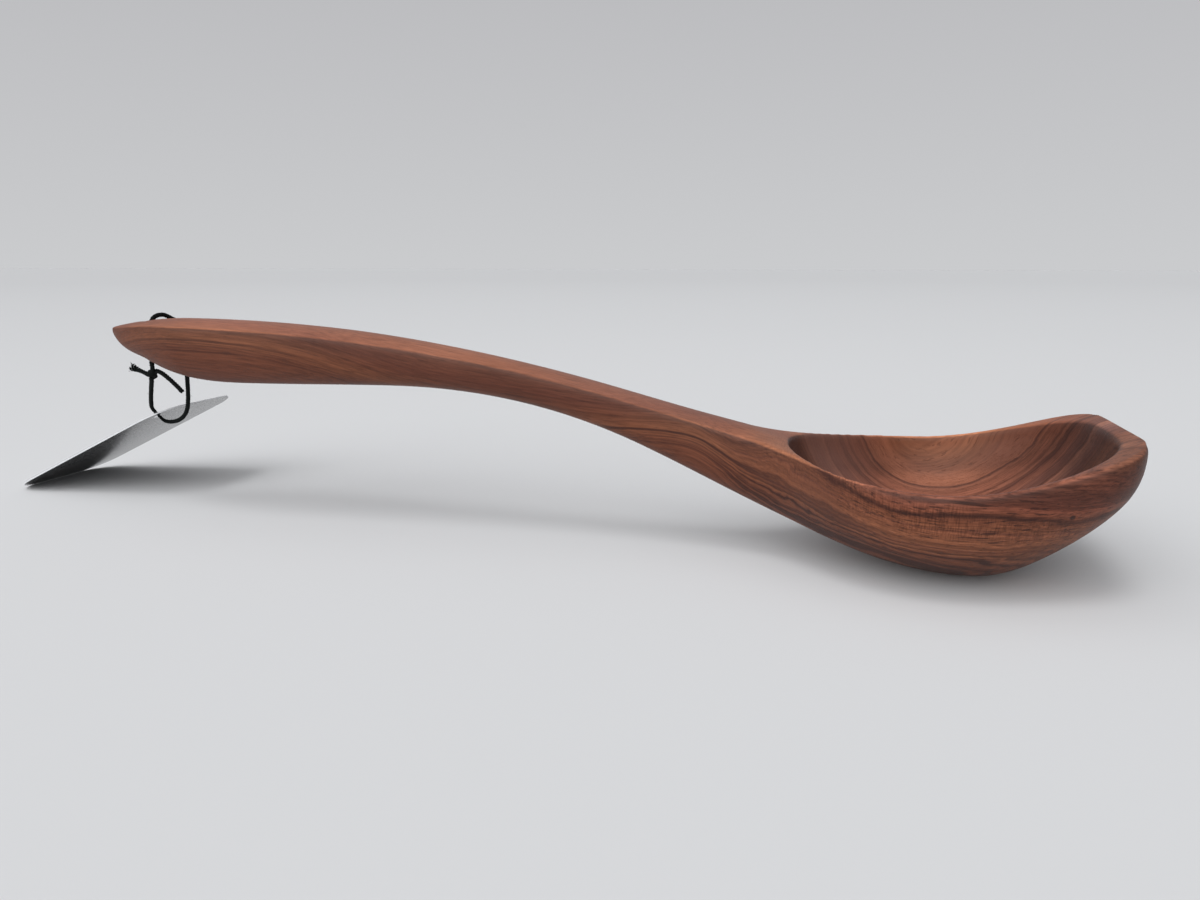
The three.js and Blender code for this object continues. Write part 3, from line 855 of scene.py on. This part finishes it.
def paper_floor():
    """Pale paper with painted shade: it darkens a little with each doubling of the distance from
    the ladle.
    """
    s = Shader("studio_paper")
    away = s.add("ShaderNodeVectorMath", {"operation": "LENGTH"}, i0=s.coordinate("Object"))
    doublings = s.math("LOGARITHM", s.math("ADD", away.outputs["Value"], 1.0), 2.0)
    color = s.ramp(s.math("DIVIDE", doublings, 3.0), [
        (0.12, srgb(215, 216, 218)), (0.36, srgb(209, 210, 212)), (0.80, srgb(201, 202, 204))])
    return s.finish(Base_Color=color, Roughness=0.9, Specular_IOR_Level=0.0)


def dress(obj, material):
    obj.data.materials.clear()
    obj.data.materials.append(material)


dress(ladle, walnut())
dress(twine, twine_black())
for material_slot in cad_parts["hang_tag"].material_slots:
    material_slot.material = card()

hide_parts("ladle")
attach(ladle, "ladle")
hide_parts("cord_upper", "cord_loop", "cord_knot")
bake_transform(twine)

# Studio
FLOOR_HALF = 9000
FLOOR_DROP = 0.02
floor = new_object("studio_floor", [(-FLOOR_HALF, -FLOOR_HALF, 0), (FLOOR_HALF, -FLOOR_HALF, 0),
                                    (FLOOR_HALF, FLOOR_HALF, 0), (-FLOOR_HALF, FLOOR_HALF, 0)],
                   [(0, 1, 2, 3)])
floor.location.z = -FLOOR_DROP * MM
dress(floor, paper_floor())


def soft_sun(name, towards_light, strength, angle):
    """A far, wide and soft lamp: it lights the whole floor evenly."""
    data = bpy.data.lights.new(name, "SUN")
    data.energy = strength
    data.angle = math.radians(angle)
    lamp = bpy.data.objects.new(name, data)
    lamp.rotation_euler = Vector(towards_light).to_track_quat("Z", "Y").to_euler()
    bpy.context.scene.collection.objects.link(lamp)


soft_sun("lamp_key", (-0.12, -0.40, 1.0), 0.60, 18)
soft_sun("lamp_front", (-0.28, -1.0, 0.60), 1.62, 60)

world = bpy.data.worlds.new("studio_world")
world.use_nodes = True
bpy.context.scene.world = world
sky = Nodes(world.node_tree)
heading = sky.coordinate("Generated")

# What is seen behind the ladle and in its gloss: pale paper that darkens upwards.
ray = sky.add("ShaderNodeLightPath").outputs
seen = sky.math("MAXIMUM", ray["Is Camera Ray"], ray["Is Glossy Ray"])
seen = sky.math("MAXIMUM", seen, ray["Is Transmission Ray"])
backdrop = sky.ramp(sky.parts(heading)[2],
                    [(0.0, srgb(202, 203, 205)), (0.34, srgb(183, 183, 186))])

# What lights the ladle: a wide soft light in front and above, a little to the left.
TO_LIGHT = Vector((-0.30, -0.80, 0.52)).normalized()
to_light = sky.add("ShaderNodeVectorMath", {"operation": "DOT_PRODUCT"}, i0=heading, i1=TO_LIGHT)
glow = sky.ramp(to_light.outputs["Value"],
                [(0.0, (0.24, 0.24, 0.245)), (1.0, (1.02, 1.025, 1.03))])
sky.put(sky.tree.nodes["Background"].inputs["Color"], sky.mix(seen, glow, backdrop))

bpy.context.scene.view_settings.view_transform = "Standard"
